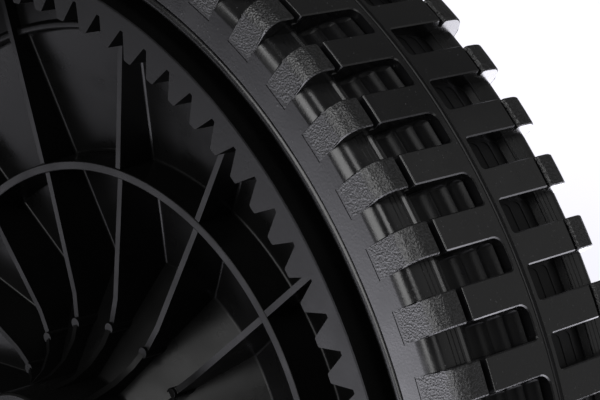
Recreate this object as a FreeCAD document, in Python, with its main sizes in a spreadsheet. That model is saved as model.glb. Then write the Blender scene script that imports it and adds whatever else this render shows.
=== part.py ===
"""Drive wheel of a self-propelled lawn mower.

A plastic wheel with an internal ring gear, a ribbed dished web and a lugged tyre band,
running on two shielded ball bearings. The wheel spins about Y and its gear side faces -Y.
Lengths are millimetres and angles are degrees. Y = 0 is the middle of the tyre's width.
"""
import FreeCAD, Part
import math
import os
import re
import Sketcher

# Sizes that can be set by themselves
DIMENSIONS = {
    # Tyre band
    "tyre_radius": 140.0,
    "tyre_half_width": 26.2,
    "sidewall_height": 4.7,
    "sidewall_lean": 0.2,
    "tread_floor_radius": 134.0,
    "floor_corner_radius": 2.8,
    "centre_band_half_width": 2.0,
    # Scoops across the floor between two lugs
    "scoop_count": 3,
    "scoop_radius": 2.6,
    "scoop_inside": 2.9,
    "scoop_outside": 15.4,
    "crest_radius": 137.9,
    "trough_depth": 0.9,
    "crown_radius": 40.0,
    # Tread lugs
    "lug_count": 64,
    "lug_width": 6.5,
    "lug_angle": 4.67,
    "lug_root_depth": 1.6,
    "lug_face_setback": 1.3,
    "shoulder_radius": 2.6,
    "lug_groove_place": 17.3,
    "lug_groove_width": 1.8,
    "lug_groove_depth": 2.0,
    # Rim under the tyre
    "rim_radius": 124.8,
    "rim_wall": 2.7,
    "rim_half_width": 24.5,
    "rim_chamfer": 0.9,
    "rim_key_height": 1.5,
    "rim_key_half_width": 6.0,
    # Ring gear
    "tooth_count": 96,
    "tooth_module": 2.35,
    "tooth_tip_width": 1.9,
    "tooth_root_gap": 0.8,
    "tooth_length": 25.0,
    "tooth_angle": 0.67,
    "gear_wall": 3.26,
    "gear_stand": 29.0,
    # Web between hub and gear
    "gear_floor": 2.4,
    "bead_radius": 99.9,
    "bead_width": 1.7,
    "bead_height": 1.4,
    "web_edge": 4.3,
    "web_valley": 16.0,
    "valley_radius": 44.0,
    "web_wall": 2.6,
    # Ribs and the ring that crosses them
    "rib_count": 16,
    "rib_thickness": 1.5,
    "rib_top_at_gear": -0.8,
    "rib_top_inside": 1.2,
    "ring_radius": 68.2,
    "ring_top": 0.4,
    "ring_width": 2.1,
    "ring_draft": 0.9,
    "gusset_radius": 18.0,
    "pad_place": 31.0,
    "pad_radius": 1.35,
    "pad_top": -0.6,
    # Hub
    "hub_radius": 20.0,
    "hub_half_length": 25.0,
    "hub_cone_top": -4.0,
    "hub_shoulder": 2.6,
    "seat_recess": 0.56,
    # Ball bearings
    "bearing_bore_radius": 6.35,
    "bearing_outer_radius": 14.2875,
    "bearing_width": 7.938,
    "ball_radius": 2.381,
    "ball_count": 8,
    "track_clearance": 0.06,
    "land_setback": 1.42,
    "cage_wall": 1.7,
    "cage_half_width": 2.85,
    "cage_clearance": 0.15,
    "shield_thickness": 0.4,
    "shield_recess": 0.25,
    "shield_seat": 0.7,
    "shield_gap": 0.3,
    # Spacer tube between the bearings
    "spacer_clearance": 0.25,
    "spacer_wall": 1.8,
}

# Places worked out from those sizes
LAYOUT = {
    # Tyre band
    "sidewall_radius": "rim_radius + sidewall_height",
    "sidewall_edge": "tyre_half_width - sidewall_lean",
    "floor_corner_start": "tread_floor_radius - floor_corner_radius",
    "floor_half_width": "sidewall_edge - floor_corner_radius",
    "lug_root_radius": "tread_floor_radius - lug_root_depth",
    "lug_face_edge": "sidewall_edge - lug_face_setback",
    "shoulder_start": "tyre_radius - shoulder_radius",
    "shoulder_end": "lug_face_edge - shoulder_radius",
    "groove_outside": "lug_groove_place + lug_groove_width",
    "groove_floor": "tyre_radius - lug_groove_depth",
    "key_radius": "rim_radius + rim_key_height",
    "scoop_pitch": "(scoop_outside - scoop_inside) / scoop_count",
    # Rim and ring gear
    "rim_inside": "rim_radius - rim_wall",
    "rim_chamfer_radius": "rim_radius - rim_chamfer",
    "rim_chamfer_edge": "rim_half_width - rim_chamfer",
    "tip_radius": "tooth_module * (tooth_count / 2 - 1)",
    "root_radius": "tooth_module * (tooth_count / 2 + 1.25)",
    "gear_outside": "root_radius + gear_wall",
    "tip_gap": "tip_radius * 2 * pi / tooth_count - tooth_tip_width",
    "flank_slope": "(tip_gap - tooth_root_gap) / (root_radius - tip_radius) / 2",
    "space_angle": "tooth_angle + 180 / tooth_count",
    # Web
    "bead_outside": "bead_radius + bead_width",
    "bead_top": "gear_floor - bead_height",
    "web_back": "web_edge + web_wall",
    "valley_back": "web_valley + web_wall",
    "cone_slope": "(web_valley - hub_cone_top) / (valley_radius - hub_radius)",
    "cone_back": "hub_cone_top + web_wall * sqrt(1 + cone_slope * cone_slope)",
    "web_slope": "(web_valley - web_edge) / (bead_radius - valley_radius)",
    "ring_foot": "web_edge + (bead_radius - ring_radius) * web_slope + web_wall / 2",
    # Ribs, sunk half way into the web
    "gusset_outside": "hub_radius + gusset_radius",
    "gusset_top": "rib_top_inside - gusset_radius",
    "rib_end": "(tip_radius + gear_outside) / 2",
    "rib_foot_gear": "(gear_floor + web_back) / 2",
    "rib_foot_bead": "(web_edge + web_back) / 2",
    "rib_foot_valley": "(web_valley + valley_back) / 2",
    "rib_foot_hub": "(hub_cone_top + cone_back) / 2",
    "rib_inner_end": "(hub_radius + bearing_outer_radius) / 2",
    "pad_length": "hub_cone_top + cone_slope * (pad_place - hub_radius) + web_wall / 2 - pad_top",
    # Hub and bearings
    "shoulder_bore": "bearing_outer_radius - hub_shoulder",
    "seat_floor": "hub_half_length - seat_recess - bearing_width",
    "bearing_place": "seat_floor + bearing_width / 2",
    "bearing_half": "bearing_width / 2",
    "ball_circle": "(bearing_bore_radius + bearing_outer_radius) / 2",
    "track_radius": "ball_radius + track_clearance",
    "inner_land": "ball_circle - land_setback",
    "outer_land": "ball_circle + land_setback",
    "track_half_width": "sqrt(track_radius * track_radius - land_setback * land_setback)",
    "shield_outside": "outer_land + shield_seat",
    "shield_inside": "inner_land + shield_gap",
    "shield_outer_face": "bearing_half - shield_recess",
    "shield_inner_face": "shield_outer_face - shield_thickness",
    "cage_inside": "ball_circle - cage_wall / 2",
    "cage_outside": "ball_circle + cage_wall / 2",
    "spacer_bore": "bearing_bore_radius + spacer_clearance",
    "spacer_outside": "spacer_bore + spacer_wall",
}

doc = FreeCAD.newDocument("mower_wheel")


def bound(formula):
    """The formula with each size's name led by the sheet that holds it."""
    def lead(match):
        word = match.group(0)
        if word in DIMENSIONS:
            return "Dimensions." + word
        if word in LAYOUT:
            return "Layout." + word
        return word
    return re.sub(r"[a-z_]+", lead, formula)


def fill_sheet(name, cells):
    """A sheet with one named cell on each row."""
    sheet = doc.addObject("Spreadsheet::Sheet", name)
    for row, (alias, text) in enumerate(cells.items(), 1):
        sheet.set("A%d" % row, alias)
        sheet.set("B%d" % row, text)
        sheet.setAlias("B%d" % row, alias)
    return sheet


def value(formula):
    """The number that a formula of named sizes gives now."""
    return float(layout.evalExpression(bound(formula)))


fill_sheet("Dimensions", {alias: str(size) for alias, size in DIMENSIONS.items()})
layout = fill_sheet("Layout", {alias: "=" + bound(text).replace("Layout.", "")
                               for alias, text in LAYOUT.items()})
doc.recompute()


def origin_feature(body, role):
    """An axis or a plane of the body's own origin."""
    return next(feature for feature in body.Origin.OriginFeatures if feature.Role == role)


def new_body(label, along="0"):
    """A body for one sub-part, placed along the wheel's axis."""
    body = doc.addObject("PartDesign::Body", label)
    body.Label = label
    body.setExpression("Placement.Base.y", bound(along))
    return body


def sketch_on(body, name, role):
    """An empty sketch on one of the body's origin planes."""
    sketch = body.newObject("Sketcher::SketchObject", name)
    sketch.AttachmentSupport = (origin_feature(body, role), "")
    sketch.MapMode = "FlatFace"
    return sketch


def turn_sketch(sketch, axis, angle, lift="0"):
    """Turn a sketch about an axis of its plane, and lift it off that plane."""
    turn = FreeCAD.Rotation(FreeCAD.Vector(*axis), value(angle))
    sketch.AttachmentOffset = FreeCAD.Placement(FreeCAD.Vector(0, 0, value(lift)), turn)
    sketch.setExpression("AttachmentOffset.Rotation.Angle", bound(angle))
    sketch.setExpression("AttachmentOffset.Base.z", bound(lift))


def arc_between(start, end, radius, side):
    """The short arc from start to end, with its centre on the left (1) or right (-1)."""
    middle = (start + end) / 2
    chord = end - start
    across = FreeCAD.Vector(-chord.y, chord.x, 0).normalize() * side
    centre = middle + across * math.sqrt(max(radius ** 2 - chord.Length ** 2 / 4, 0))
    first, last = (start, end) if side > 0 else (end, start)
    angles = [math.atan2(point.y - centre.y, point.x - centre.x) for point in (first, last)]
    circle = Part.Circle(centre, FreeCAD.Vector(0, 0, 1), radius)
    return Part.ArcOfCircle(circle, angles[0], angles[1])


def closed_outline(sketch, corners):
    """Draw a closed outline whose corners are formulas of the named sizes.

    A corner is (across, along), or (across, along, radius, side) where an arc follows it.
    """
    points = [FreeCAD.Vector(value(corner[0]), value(corner[1]), 0) for corner in corners]
    ends = []
    for index, corner in enumerate(corners):
        start, end = points[index], points[(index + 1) % len(points)]
        if len(corner) == 2:
            sketch.addGeometry(Part.LineSegment(start, end), False)
            ends.append((1, 2))
            continue
        radius, side = corner[2:]
        sketch.addGeometry(arc_between(start, end, value(radius), side), False)
        ends.append((1, 2) if side > 0 else (2, 1))
    for index, corner in enumerate(corners):
        after = (index + 1) % len(corners)
        joint = Sketcher.Constraint("Coincident", index, ends[index][1], after, ends[after][0])
        sketch.addConstraint(joint)
        sizes = [("DistanceX", corner[0]), ("DistanceY", corner[1])]
        for kind, formula in sizes:
            rule = Sketcher.Constraint(kind, -1, 1, index, ends[index][0], value(formula))
            number = sketch.addConstraint(rule)
            sketch.setExpression("Constraints[%d]" % number, bound(formula))
        if len(corner) > 2:
            number = sketch.addConstraint(Sketcher.Constraint("Radius", index, value(corner[2])))
            sketch.setExpression("Constraints[%d]" % number, bound(corner[2]))


def revolve(body, name, corners):
    """A ring about the wheel's axis: corners are (radius, place along the axis)."""
    sketch = sketch_on(body, name + "_section", "XY_Plane")
    closed_outline(sketch, corners)
    ring = body.newObject("PartDesign::Revolution", name)
    ring.Profile = sketch
    ring.ReferenceAxis = (sketch, ["V_Axis"])
    ring.Angle = 360
    return ring


def plate(body, name, corners, thickness, angle="0"):
    """A plate through the wheel's axis: corners are (radius, place along the axis)."""
    sketch = sketch_on(body, name + "_outline", "XY_Plane")
    turn_sketch(sketch, (0, -1, 0), angle)
    closed_outline(sketch, corners)
    pad = body.newObject("PartDesign::Pad", name)
    pad.Profile = sketch
    pad.SideType = "Symmetric"
    pad.setExpression("Length", bound(thickness))
    return pad


def around(body, feature, count):
    """Repeat a feature round the wheel's axis."""
    pattern = body.newObject("PartDesign::PolarPattern", feature.Name + "_around")
    pattern.Originals = [feature]
    pattern.Axis = (origin_feature(body, "Y_Axis"), [""])
    pattern.Angle = 360
    pattern.setExpression("Occurrences", bound(count))
    body.Tip = pattern
    return pattern


def mirrored(corners):
    """The same corners on the other side of the wheel, in the opposite order."""
    other_side = []
    for index in reversed(range(len(corners))):
        across, along = corners[index][:2]
        bend = corners[index - 1][2:] if index else ()
        other_side.append((across, "-(%s)" % along) + bend)
    return other_side


def make_wheel_moulding():
    """Hub, dished web, ribs, ring gear and rim, moulded as one piece."""
    body = new_body("wheel_moulding")
    front = [
        ("bearing_outer_radius", "-hub_half_length"),
        ("hub_radius", "-hub_half_length"),
        ("hub_radius", "hub_cone_top"),
        ("valley_radius", "web_valley"),
        ("bead_radius", "web_edge"),
        ("bead_radius", "bead_top"),
        ("bead_outside", "bead_top"),
        ("bead_outside", "gear_floor"),
        ("tip_radius", "gear_floor"),
        ("tip_radius", "-gear_stand"),
        ("gear_outside", "-gear_stand"),
        ("gear_outside", "gear_floor"),
        ("rim_inside", "gear_floor"),
        ("rim_inside", "-rim_half_width"),
    ]
    rim_seat = [
        ("rim_chamfer_radius", "-rim_half_width"),
        ("rim_radius", "-rim_chamfer_edge"),
        ("rim_radius", "-rim_key_half_width"),
        ("key_radius", "-rim_key_half_width"),
    ]
    back = [
        ("rim_inside", "rim_half_width"),
        ("rim_inside", "web_back"),
        ("bead_radius", "web_back"),
        ("valley_radius", "valley_back"),
        ("hub_radius", "cone_back"),
        ("hub_radius", "hub_half_length"),
        ("bearing_outer_radius", "hub_half_length"),
        ("bearing_outer_radius", "seat_floor"),
        ("shoulder_bore", "seat_floor"),
        ("shoulder_bore", "-seat_floor"),
        ("bearing_outer_radius", "-seat_floor"),
    ]
    revolve(body, "web_and_rim", front + rim_seat + mirrored(rim_seat) + back)
    revolve(body, "cross_ring", [
        ("ring_radius - ring_width / 2", "ring_top"),
        ("ring_radius + ring_width / 2", "ring_top"),
        ("ring_radius + ring_width / 2 + ring_draft", "ring_foot"),
        ("ring_radius - ring_width / 2 - ring_draft", "ring_foot"),
    ])
    rib = plate(body, "rib", [
        ("rib_end", "rib_top_at_gear"),
        ("ring_radius", "ring_top"),
        ("ring_radius", "rib_top_inside"),
        ("gusset_outside", "rib_top_inside", "gusset_radius", 1),
        ("hub_radius", "gusset_top"),
        ("rib_inner_end", "gusset_top"),
        ("rib_inner_end", "rib_foot_hub"),
        ("hub_radius", "rib_foot_hub"),
        ("valley_radius", "rib_foot_valley"),
        ("bead_radius", "rib_foot_bead"),
        ("rib_end", "rib_foot_gear"),
    ], "rib_thickness")
    around(body, rib, "rib_count")
    add_ejector_pads(body)
    doc.recompute()
    cut_tooth_spaces(body)
    return body


def circle_at(sketch, across, along, radius):
    """Draw a circle whose place and radius are formulas of the named sizes."""
    centre = FreeCAD.Vector(value(across), value(along), 0)
    sketch.addGeometry(Part.Circle(centre, FreeCAD.Vector(0, 0, 1), value(radius)), False)
    sizes = [("DistanceX", across), ("DistanceY", along)]
    for kind, formula in sizes:
        number = sketch.addConstraint(Sketcher.Constraint(kind, -1, 1, 0, 3, value(formula)))
        sketch.setExpression("Constraints[%d]" % number, bound(formula))
    number = sketch.addConstraint(Sketcher.Constraint("Radius", 0, value(radius)))
    sketch.setExpression("Constraints[%d]" % number, bound(radius))


def add_ejector_pads(body):
    """A round pad on each rib near the hub, where a pin pushed the wheel out of its mould."""
    sketch = sketch_on(body, "ejector_pad_outline", "XZ_Plane")
    turn_sketch(sketch, (0, 0, 1), "0", "-(pad_top)")
    circle_at(sketch, "pad_place", "0", "pad_radius")
    pad = body.newObject("PartDesign::Pad", "ejector_pad")
    pad.Profile = sketch
    pad.Reversed = True
    pad.setExpression("Length", bound("pad_length"))
    around(body, pad, "rib_count")


def cut_tooth_spaces(body):
    """The spaces between the ring gear's teeth, open at the gear face and closed below."""
    uncut = body.Shape.Volume
    sketch = sketch_on(body, "tooth_space_outline", "XZ_Plane")
    turn_sketch(sketch, (0, 0, 1), "space_angle", "gear_stand")
    mouth = "tip_radius - tooth_module / 2"
    half_mouth = "tip_gap / 2 + flank_slope * tooth_module / 2"
    closed_outline(sketch, [
        (mouth, "-(%s)" % half_mouth),
        ("root_radius", "-tooth_root_gap / 2"),
        ("root_radius", "tooth_root_gap / 2"),
        (mouth, half_mouth),
    ])
    space = body.newObject("PartDesign::Pocket", "tooth_space")
    space.Profile = sketch
    space.setExpression("Length", bound("tooth_length"))
    around(body, space, "tooth_count")
    doc.recompute()
    if body.Shape.Volume >= uncut:
        raise RuntimeError("the tooth spaces cut nothing")


def make_tyre():
    """Band with a full ring at its middle and a staggered row of lugs on each side."""
    body = new_body("tyre")
    outside = [
        ("rim_radius", "-tyre_half_width"),
        ("floor_corner_start", "-sidewall_edge", "floor_corner_radius", 1),
        ("tread_floor_radius", "-floor_half_width"),
        ("tread_floor_radius", "-scoop_outside"),
    ]
    for index in range(DIMENSIONS["scoop_count"], -1, -1):
        place = "(scoop_inside + %d * scoop_pitch)" % index
        crest = "crest_radius - %s ^ 2 / crown_radius / 2" % place
        outside.append((crest, "-" + place) + (("scoop_radius", -1) if index else ()))
    outside += [
        ("crest_radius - trough_depth", "-centre_band_half_width"),
        ("tyre_radius", "-centre_band_half_width"),
    ]
    seat = [
        ("rim_radius", "rim_key_half_width"),
        ("key_radius", "rim_key_half_width"),
    ]
    revolve(body, "band", outside + mirrored(outside) + seat + mirrored(seat))
    lug = [
        ("lug_root_radius", "0"),
        ("lug_root_radius", "-floor_half_width"),
        ("sidewall_radius", "-sidewall_edge"),
        ("shoulder_start", "-lug_face_edge"),
        ("tyre_radius", "-shoulder_end"),
        ("tyre_radius", "-groove_outside"),
        ("groove_floor", "-groove_outside"),
        ("groove_floor", "-lug_groove_place"),
        ("tyre_radius", "-lug_groove_place"),
        ("tyre_radius", "0"),
    ]
    gear_row = plate(body, "gear_side_lug", lug, "lug_width", "lug_angle")
    around(body, gear_row, "lug_count")
    outer_row = plate(body, "outer_side_lug", mirrored(lug), "lug_width",
                      "lug_angle + 180 / lug_count")
    around(body, outer_row, "lug_count")
    return body


def make_bearing(side, place):
    """Shielded ball bearing: two rings, balls in a cage, and a shield on each face."""
    inner = new_body(side + "_inner_ring", place)
    revolve(inner, "ring", [
        ("bearing_bore_radius", "-bearing_half"),
        ("inner_land", "-bearing_half"),
        ("inner_land", "-track_half_width", "track_radius", -1),
        ("inner_land", "track_half_width"),
        ("inner_land", "bearing_half"),
        ("bearing_bore_radius", "bearing_half"),
    ])
    outer = new_body(side + "_outer_ring", place)
    revolve(outer, "ring", [
        ("shield_outside", "-bearing_half"),
        ("bearing_outer_radius", "-bearing_half"),
        ("bearing_outer_radius", "bearing_half"),
        ("shield_outside", "bearing_half"),
        ("shield_outside", "shield_inner_face"),
        ("outer_land", "shield_inner_face"),
        ("outer_land", "track_half_width", "track_radius", -1),
        ("outer_land", "-track_half_width"),
        ("outer_land", "-shield_inner_face"),
        ("shield_outside", "-shield_inner_face"),
    ])
    shields = []
    for face, sign in (("near", "-"), ("far", "")):
        shield = new_body("%s_%s_shield" % (side, face), place)
        revolve(shield, "disc", [
            ("shield_inside", sign + "shield_inner_face"),
            ("shield_outside", sign + "shield_inner_face"),
            ("shield_outside", sign + "shield_outer_face"),
            ("shield_inside", sign + "shield_outer_face"),
        ])
        shields.append(shield)
    return [inner, outer, make_cage(side, place), make_balls(side, place)] + shields


def make_cage(side, place):
    """Ring with a round window for each ball."""
    cage = new_body(side + "_cage", place)
    revolve(cage, "ring", [
        ("cage_inside", "-cage_half_width"),
        ("cage_outside", "-cage_half_width"),
        ("cage_outside", "cage_half_width"),
        ("cage_inside", "cage_half_width"),
    ])
    doc.recompute()
    uncut = cage.Shape.Volume
    sketch = sketch_on(cage, "window_outline", "YZ_Plane")
    circle_at(sketch, "0", "0", "ball_radius + cage_clearance")
    window = cage.newObject("PartDesign::Pocket", "window")
    window.Profile = sketch
    window.Reversed = True
    window.setExpression("Length", bound("bearing_outer_radius"))
    around(cage, window, "ball_count")
    doc.recompute()
    if cage.Shape.Volume >= uncut:
        raise RuntimeError("the cage windows cut nothing")
    return cage


def make_balls(side, place):
    """The bearing's balls, evenly spaced on their circle."""
    balls = []
    for index in range(DIMENSIONS["ball_count"]):
        ball = doc.addObject("Part::Sphere", "%s_ball_%d" % (side, index + 1))
        ball.setExpression("Radius", bound("ball_radius"))
        turn = "(%d * 360 / ball_count)" % index
        ball.setExpression("Placement.Base.x", bound("ball_circle * cos%s" % turn))
        ball.setExpression("Placement.Base.y", bound(place))
        ball.setExpression("Placement.Base.z", bound("ball_circle * sin%s" % turn))
        balls.append(ball)
    group = doc.addObject("Part::Compound", side + "_balls")
    group.Label = side + "_balls"
    group.Links = balls
    return group


def make_spacer():
    """Tube that holds the two inner rings apart on the axle."""
    spacer = new_body("axle_spacer")
    revolve(spacer, "tube", [
        ("spacer_bore", "-seat_floor"),
        ("spacer_outside", "-seat_floor"),
        ("spacer_outside", "seat_floor"),
        ("spacer_bore", "seat_floor"),
    ])
    return spacer


sub_parts = [make_wheel_moulding(), make_tyre()]
sub_parts += make_bearing("gear_side", "-bearing_place")
sub_parts += make_bearing("outer_side", "bearing_place")
sub_parts.append(make_spacer())
doc.recompute()

failed = [item.Label for item in doc.Objects if {"Invalid", "Error"} & set(item.State)]
if failed:
    raise RuntimeError("not built: " + ", ".join(failed))
for part in sub_parts:
    if part.Shape.isNull() or not part.Shape.isValid():
        raise RuntimeError("bad shape: " + part.Label)

os.makedirs("parts", exist_ok=True)
for part in sub_parts:
    part.Shape.exportStep("parts/%s.step" % part.Label)
    print(part.Label, len(part.Shape.Solids), "solids", round(part.Shape.Volume, 1), "mm3")
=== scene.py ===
# %% [markdown]
# # The drive wheel of a lawn mower
# The wheel is two black mouldings: a wheel body with a ring gear inside its rim, and a lugged
# tread band that is pressed over it. Two steel ball bearings sit in the hub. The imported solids
# are loaded first. They bring the bearings, the tyre's radius and the whole wheel's box. The other
# sizes of the two mouldings are written here by name, in millimetres.

# %% Load the frame
import math

import bmesh
import bpy
from mathutils import Matrix, Quaternion, Vector


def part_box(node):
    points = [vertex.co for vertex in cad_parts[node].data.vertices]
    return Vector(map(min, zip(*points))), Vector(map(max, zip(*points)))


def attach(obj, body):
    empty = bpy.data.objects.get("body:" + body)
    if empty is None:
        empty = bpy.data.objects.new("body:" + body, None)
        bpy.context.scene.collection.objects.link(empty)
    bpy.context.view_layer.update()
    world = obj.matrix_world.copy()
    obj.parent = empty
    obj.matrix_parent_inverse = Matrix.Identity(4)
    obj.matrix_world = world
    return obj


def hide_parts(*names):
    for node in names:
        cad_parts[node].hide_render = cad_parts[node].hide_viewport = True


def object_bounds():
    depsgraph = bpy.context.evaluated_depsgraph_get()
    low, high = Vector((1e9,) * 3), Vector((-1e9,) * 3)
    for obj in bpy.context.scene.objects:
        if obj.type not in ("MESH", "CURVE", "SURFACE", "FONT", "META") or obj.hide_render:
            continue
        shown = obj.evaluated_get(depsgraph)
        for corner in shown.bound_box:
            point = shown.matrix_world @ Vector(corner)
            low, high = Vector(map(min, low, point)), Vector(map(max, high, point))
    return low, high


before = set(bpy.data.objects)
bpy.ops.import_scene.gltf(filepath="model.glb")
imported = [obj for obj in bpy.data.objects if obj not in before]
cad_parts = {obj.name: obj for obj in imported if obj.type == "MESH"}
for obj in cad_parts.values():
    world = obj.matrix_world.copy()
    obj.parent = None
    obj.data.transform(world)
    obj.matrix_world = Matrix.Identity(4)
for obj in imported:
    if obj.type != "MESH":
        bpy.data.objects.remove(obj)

MM = 0.001
cad_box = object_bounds()
tyre_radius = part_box("tyre")[1].z / MM
print("frame of", len(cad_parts), "nodes, tyre radius", round(tyre_radius, 2), "mm")

# %% [markdown]
# ## The camera
# The photograph is a close view of the upper right part of the wheel, a little from the right and
# from above. A pinhole camera was fitted to the teeth, the lugs and the ribs, and its place, the
# point on the gear's face that it looks at, its roll and its lens are repeated here.

# %% Camera
CAMERA_PLACE = Vector((344.33, -306.88, 205.52))
CAMERA_AIM = Vector((84.49, -29.0, 89.09))
CAMERA_ROLL = math.radians(3.746)
CAMERA_LENS = 126.97
SENSOR_WIDTH = 36.0
NEAREST_VIEW = 10.0


def add_camera():
    """A camera at the photograph's viewing angle."""
    bpy.ops.object.select_all(action="DESELECT")
    bpy.ops.object.camera_add(location=CAMERA_PLACE * MM)
    camera = bpy.context.object
    level = (CAMERA_AIM - CAMERA_PLACE).to_track_quat("-Z", "Y")
    turn = level @ Quaternion((0, 0, 1), CAMERA_ROLL)
    camera.rotation_euler = turn.to_euler()
    camera.data.lens = CAMERA_LENS
    camera.data.sensor_width = SENSOR_WIDTH
    camera.data.clip_start = NEAREST_VIEW * MM
    bpy.context.scene.camera = camera
    return camera


camera = add_camera()
print("camera right", [round(x, 4) for x in camera.rotation_euler.to_matrix().col[0]])

# %% [markdown]
# ## Sections with rounded corners
# A moulding has few sharp corners, because plastic flows and shrinks better round a radius. A
# section here is a list of corners, and a corner may carry a third number, its radius. The arc could
# be bevelled later, but putting it in the section keeps each radius beside the corner it belongs to.

# %% Rounded lines
ARC_STEP = math.radians(20)


def rounded(corners):
    """Points of a closed line; a corner's third number is the radius that rounds it."""
    points = []
    for index, corner in enumerate(corners):
        here = Vector(corner[:2])
        if len(corner) == 2:
            points.append(here)
            continue
        before = (Vector(corners[index - 1][:2]) - here).normalized()
        after = (Vector(corners[(index + 1) % len(corners)][:2]) - here).normalized()
        half = before.angle(after) / 2
        centre = here + (before + after).normalized() * corner[2] / math.sin(half)
        start = here + before * corner[2] / math.tan(half) - centre
        end = here + after * corner[2] / math.tan(half) - centre
        sweep = math.atan2(start.x * end.y - start.y * end.x, start.dot(end))
        steps = max(2, math.ceil(abs(sweep) / ARC_STEP))
        for step in range(steps + 1):
            points.append(centre + Matrix.Rotation(sweep * step / steps, 2) @ start)
    return points


print("a right-angled corner becomes", len(rounded([(0, 0, 1), (9, 0), (0, 9)])) - 2, "points")

# %% [markdown]
# ## Selecting and editing
# Blender's operators act on whatever is selected, and loading the frame leaves its nodes selected.
# So every tool below first picks its one piece, and closes its mesh when it is done. Spinning and
# mirroring can turn a shape inside out, so closing also points all faces outwards.

# %% Edit mode
WELD = 0.002 * MM


def pick(piece):
    """Select one piece alone and make it active."""
    bpy.ops.object.select_all(action="DESELECT")
    piece.select_set(True)
    bpy.context.view_layer.objects.active = piece


def edit(piece):
    """Go into edit mode on one piece, with all of it selected."""
    if bpy.context.mode != "OBJECT":
        bpy.ops.object.mode_set(mode="OBJECT")
    pick(piece)
    bpy.ops.object.mode_set(mode="EDIT")
    bpy.ops.mesh.select_all(action="SELECT")


def leave_edit():
    """Back to object mode with nothing selected."""
    bpy.ops.object.mode_set(mode="OBJECT")
    bpy.ops.object.select_all(action="DESELECT")


def close_shape():
    """Weld the mesh in edit mode, point its faces outwards and leave edit mode."""
    bpy.ops.mesh.select_all(action="SELECT")
    bpy.ops.mesh.remove_doubles(threshold=WELD)
    bpy.ops.mesh.normals_make_consistent(inside=False)
    leave_edit()


print("points closer than", round(WELD / MM, 3), "mm are welded")

# %% [markdown]
# ## Spinning and pushing
# Most of the wheel is round, so most pieces start as a line that is drawn point by point and spun
# about the axle, which is the Y axis. Straight pieces are a face that is pushed out, as a bar leaves
# an extruder. Both begin with a plane merged to one vertex, which is then pulled along the line.

# %% Solids from a line
AXLE = (0, 1, 0)
CENTRE = (0, 0, 0)


def draw_line(name, points):
    """Draw a closed line by pulling one vertex from point to point, given in millimetres."""
    bpy.ops.object.select_all(action="DESELECT")
    bpy.ops.mesh.primitive_plane_add(size=MM)
    piece = bpy.context.object
    piece.name = name
    bpy.ops.object.mode_set(mode="EDIT")
    bpy.ops.mesh.merge(type="CENTER")
    bpy.ops.transform.translate(value=points[0] * MM)
    for start, end in zip(points, points[1:] + points[:1]):
        bpy.ops.mesh.extrude_region_move(TRANSFORM_OT_translate={"value": (end - start) * MM})
    bpy.ops.mesh.select_all(action="SELECT")
    bpy.ops.mesh.remove_doubles(threshold=WELD)
    return piece


def spun(name, corners, steps):
    """A ring about the axle from a closed section of (radius, place along the axle)."""
    points = [Vector((point.x, point.y, 0)) for point in rounded(corners)]
    piece = draw_line(name, points)
    bpy.ops.mesh.spin(steps=steps, angle=2 * math.pi, center=CENTRE, axis=AXLE)
    close_shape()
    return piece


def pushed(name, points, push):
    """A closed line filled with a face, which is then pushed out to a solid."""
    piece = draw_line(name, points)
    bpy.ops.mesh.edge_face_add()
    bpy.ops.mesh.extrude_region_move(TRANSFORM_OT_translate={"value": Vector(push) * MM})
    close_shape()
    return piece


print("sections spin about", AXLE)

# %% [markdown]
# ## Copying, combining and rounding edges
# Lugs, teeth and ribs repeat round the wheel, so each is made once and copied by a spin that
# duplicates. Pieces are then joined or cut with a Boolean modifier, which keeps closed shapes
# closed. Edges to be rounded are found by their place and the faces beside them, because their
# numbers change with every cut.

# %% Copies, Booleans and bevels
SOLVER = "MANIFOLD"


def turned(piece, angle):
    """Turn a piece about the axle, from X towards Z."""
    pick(piece)
    piece.rotation_euler = (0, -math.radians(angle), 0)
    bpy.ops.object.transform_apply(location=True, rotation=True, scale=True)
    return piece


def copied_round(piece, count, first_angle):
    """Turn a piece to its first angle and copy it round the axle."""
    edit(turned(piece, first_angle))
    sweep = 2 * math.pi * (count - 1) / count
    bpy.ops.mesh.spin(steps=count - 1, dupli=True, angle=sweep, center=CENTRE, axis=AXLE)
    leave_edit()
    return piece


def combine(piece, other, operation):
    """Join a second closed piece to the first, cut it away or keep what both share."""
    modifier = piece.modifiers.new(operation.lower(), "BOOLEAN")
    modifier.operation = operation
    modifier.solver = SOLVER
    modifier.object = other
    pick(piece)
    bpy.ops.object.modifier_apply(modifier=modifier.name)
    bpy.data.objects.remove(other)
    return piece


def bevel_where(piece, test, width, segments, clamp=True):
    """Round the edges that pass a test."""
    edit(piece)
    bpy.ops.mesh.select_all(action="DESELECT")
    mesh = bmesh.from_edit_mesh(piece.data)
    for edge in mesh.edges:
        edge.select_set(test(edge))
    bmesh.update_edit_mesh(piece.data)
    bpy.ops.mesh.bevel(offset=width * MM, segments=segments, affect="EDGES", clamp_overlap=clamp)
    leave_edit()


def middle_of(edge):
    """The middle of an edge, in millimetres."""
    return (edge.verts[0].co + edge.verts[1].co) / 2 / MM


def report(piece):
    """Print how large a mesh is and whether it is closed."""
    mesh = bmesh.new()
    mesh.from_mesh(piece.data)
    open_edges = sum(1 for edge in mesh.edges if not edge.is_manifold)
    triangles = sum(len(face.verts) - 2 for face in mesh.faces)
    mesh.free()
    print(piece.name, triangles, "triangles,", open_edges, "open edges")


print("pieces are combined by the", SOLVER.lower(), "solver")


# %% [markdown]
# ## The tread band
# The band is moulded with two rows of lugs that are staggered by half a pitch. Modelling 128 lugs
# one by one would leave seams at the middle ring, so the band is spun with the section of a lug,
# all the way round, and the spaces between the lugs are cut out of it. The section has the flat pad
# on the sidewall, the round shoulder, the groove across each lug and the fine parting ridge.

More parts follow.
